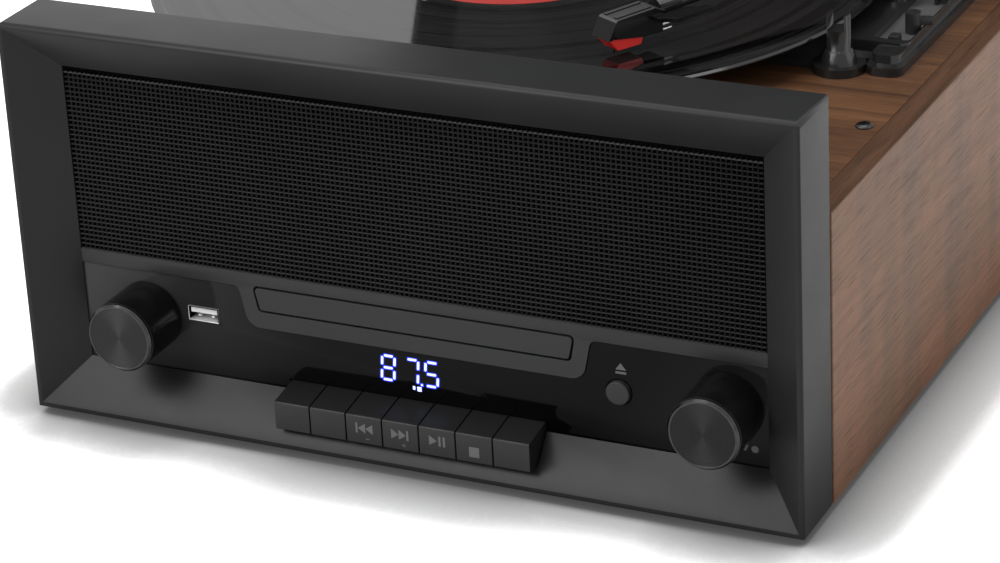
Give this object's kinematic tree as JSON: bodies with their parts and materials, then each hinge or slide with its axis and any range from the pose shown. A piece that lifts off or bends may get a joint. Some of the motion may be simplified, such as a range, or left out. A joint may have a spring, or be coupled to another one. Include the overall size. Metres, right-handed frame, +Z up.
{
  "type": "stereo music centre",
  "caption": "Wooden table-top music centre: record deck with tonearm under a hinged smoked cover, disc drawer, tuning and volume knobs, display, play keys and speakers behind a grille.",
  "frame": {"origin": "centre of the bounding box with the cover open, on the surface the feet stand on", "axes": "-Y out of the front, +X to the right seen from the front, +Z up"},
  "size_m": [0.3478, 0.4026, 0.4358],
  "materials": {
    "frame": "satin anthracite, lightly textured",
    "fascia": "satin dark grey",
    "gloss": "polished near-black",
    "black": "fine-grained black moulding",
    "walnut": "dark walnut veneer, satin lacquer, grain along the deck",
    "side_walnut": "walnut veneer, satin lacquer, grain from front to back",
    "board": "raw fibreboard",
    "steel": "bright metal",
    "screw": "black zinc",
    "rubber": "matt black rubber",
    "circuit": "green circuit board",
    "cone": "black paper cone",
    "vinyl": "glossy grooved vinyl",
    "label": "plain red paper label",
    "mat": "ribbed black rubber mat",
    "arm_metal": "dark satin metal",
    "stylus": "bright red moulding",
    "smoked": "smoked clear acrylic",
    "knob": "black, turned face with a bright edge",
    "display": "dark display housing"
  },
  "bodies": {
    "case": {"front_frame": "frame", "fascia": "fascia", "gloss_panel": "gloss", "speaker_grille": "black", "front_baffle": "board", "left_side_board": "side_walnut", "right_side_board": "side_walnut", "deck_board": "walnut", "bottom_board": "board", "rear_panel": "black", "feet": "rubber", "case_screws": "screw", "speakers": "cone", "front_board": "circuit", "knob_controls": "steel", "display_module": "display", "usb_socket": "steel", "main_board": "circuit", "transformer": "steel", "rear_sockets": "black", "disc_chassis": "black", "disc_motor": "steel", "turntable_chassis": "black", "arm_base": "black", "spindle": "steel", "motor": "steel", "drive_belt": "rubber", "arm_rest": "black", "pivot_post": "black", "transport_screws": "screw", "cover_brackets": "black"},
    "turntable": {"platter": "black", "slip_mat": "mat", "record": "vinyl", "record_label": "label"},
    "pulley": {"motor_pulley": "steel"},
    "arm_carrier": {"arm_yoke": "black"},
    "tonearm": {"arm_tube": "arm_metal", "headshell": "frame", "cartridge": "black", "stylus": "stylus"},
    "lift": {"lift_platform": "black"},
    "cue": {"cue_lever": "black"},
    "speed": {"speed_switch": "black"},
    "auto_stop": {"auto_stop_switch": "black"},
    "drawer": {"disc_tray": "black", "drawer_front": "fascia"},
    "hub": {"disc_hub": "black"},
    "sled": {"laser_sled": "black"},
    "standby_key_body": {"standby_key": "fascia"},
    "function_key_body": {"function_key": "fascia"},
    "previous_key_body": {"previous_key": "fascia"},
    "next_key_body": {"next_key": "fascia"},
    "play_key_body": {"play_key": "fascia"},
    "stop_key_body": {"stop_key": "fascia"},
    "record_key_body": {"record_key": "fascia"},
    "eject": {"eject_button": "fascia"},
    "tuning": {"tuning_knob": "knob"},
    "volume": {"volume_knob": "knob"},
    "cover": {"dust_cover": "smoked"}
  },
  "joints": [
    {"name": "platter_turn", "type": "hinge", "parent": "case", "child": "turntable", "pos_m": [-0.0231, 0.008, 0.123], "axis": [0, 0, -1], "continuous": true},
    {"name": "pulley_turn", "type": "hinge", "parent": "case", "child": "pulley", "pos_m": [-0.08536, -0.03559, 0.117], "axis": [0, 0, -1], "continuous": true},
    {"name": "arm_swing", "type": "hinge", "parent": "case", "child": "arm_carrier", "pos_m": [0.1309, 0.0604, 0.13783], "axis": [0, 0, 1], "range_deg": [-20.5, 27.6]},
    {"name": "arm_lift", "type": "hinge", "parent": "arm_carrier", "child": "tonearm", "pos_m": [0.1309, 0.0604, 0.14983], "axis": [-0.8755, 0.4833, 0], "range_deg": [0, 3]},
    {"name": "cue_turn", "type": "hinge", "parent": "case", "child": "cue", "pos_m": [0.1479, 0.0379, 0.126], "axis": [1, 0, 0], "range_deg": [0, 35]},
    {"name": "lift_rise", "type": "slide", "parent": "case", "child": "lift", "axis": [0, 0, 1], "range_m": [0, 0.00145]},
    {"name": "speed_turn", "type": "hinge", "parent": "case", "child": "speed", "pos_m": [0.1467, 0.0034, 0.123], "axis": [0, 0, 1], "range_deg": [-40, 0]},
    {"name": "auto_stop_slide", "type": "slide", "parent": "case", "child": "auto_stop", "axis": [0, 1, 0], "range_m": [0, 0.004]},
    {"name": "drawer_slide", "type": "slide", "parent": "case", "child": "drawer", "axis": [0, -1, 0], "range_m": [0, 0.13]},
    {"name": "hub_turn", "type": "hinge", "parent": "case", "child": "hub", "pos_m": [0.0149, -0.1083, 0.0473], "axis": [0, 0, -1], "continuous": true},
    {"name": "sled_slide", "type": "slide", "parent": "case", "child": "sled", "axis": [0, 1, 0], "range_m": [0, 0.03]},
    {"name": "standby_key_press", "type": "slide", "parent": "case", "child": "standby_key_body", "axis": [0, 1, 0], "range_m": [0, 0.002], "stiffness_N_per_m": 400},
    {"name": "function_key_press", "type": "slide", "parent": "case", "child": "function_key_body", "axis": [0, 1, 0], "range_m": [0, 0.002], "stiffness_N_per_m": 400},
    {"name": "previous_key_press", "type": "slide", "parent": "case", "child": "previous_key_body", "axis": [0, 1, 0], "range_m": [0, 0.002], "stiffness_N_per_m": 400},
    {"name": "next_key_press", "type": "slide", "parent": "case", "child": "next_key_body", "axis": [0, 1, 0], "range_m": [0, 0.002], "stiffness_N_per_m": 400},
    {"name": "play_key_press", "type": "slide", "parent": "case", "child": "play_key_body", "axis": [0, 1, 0], "range_m": [0, 0.002], "stiffness_N_per_m": 400},
    {"name": "stop_key_press", "type": "slide", "parent": "case", "child": "stop_key_body", "axis": [0, 1, 0], "range_m": [0, 0.002], "stiffness_N_per_m": 400},
    {"name": "record_key_press", "type": "slide", "parent": "case", "child": "record_key_body", "axis": [0, 1, 0], "range_m": [0, 0.002], "stiffness_N_per_m": 400},
    {"name": "eject_press", "type": "slide", "parent": "case", "child": "eject", "axis": [0, 1, 0], "range_m": [0, 0.0012], "stiffness_N_per_m": 400},
    {"name": "tuning_turn", "type": "hinge", "parent": "case", "child": "tuning", "pos_m": [-0.0977, -0.1773, 0.0436], "axis": [0, -1, 0], "continuous": true},
    {"name": "volume_turn", "type": "hinge", "parent": "case", "child": "volume", "pos_m": [0.1399, -0.1773, 0.0436], "axis": [0, -1, 0], "range_deg": [-150, 150]},
    {"name": "cover_turn", "type": "hinge", "parent": "case", "child": "cover", "pos_m": [0.0149, 0.1678, 0.122], "axis": [1, 0, 0], "range_deg": [0, 65]}
  ],
  "couplings": [
    {"joint": "pulley_turn", "follows": "platter_turn", "ratio": 16},
    {"joint": "cue_turn", "follows": "arm_lift", "ratio": 11.667},
    {"joint": "lift_rise", "follows": "arm_lift", "m_per_rad": 0.027487}
  ]
}
